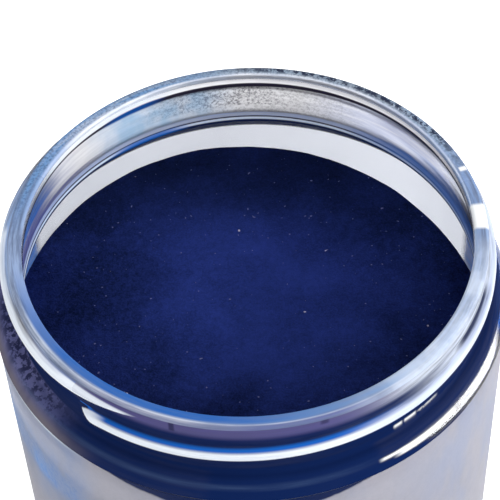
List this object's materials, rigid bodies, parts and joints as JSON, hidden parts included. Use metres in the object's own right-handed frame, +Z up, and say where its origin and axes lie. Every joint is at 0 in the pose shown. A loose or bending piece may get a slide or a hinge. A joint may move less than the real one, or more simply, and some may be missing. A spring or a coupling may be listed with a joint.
{
  "type": "pigment jar",
  "caption": "Open wide-mouth jar of clear plastic with a screw neck, a pale label sleeve and a fill of dark blue pigment powder.",
  "frame": {"origin": "centre of the base, on the surface that the jar stands on", "axes": "+Z up the jar's axis towards its mouth, -Y towards the viewer of the picture, +X to the right"},
  "size_m": [0.0738, 0.0738, 0.082],
  "materials": {
    "clear_plastic": "clear moulded plastic, glossy, with a film of blue dust on the neck and rim",
    "label_film": "pale grey-lavender film, satin, blank, smudged with blue dust",
    "blue_pigment": "dry, dead-matt, very dark blue powder with fine grain"
  },
  "bodies": {
    "root": {"jar_body": "clear_plastic", "label": "label_film", "pigment_powder": "blue_pigment"}
  },
  "joints": []
}
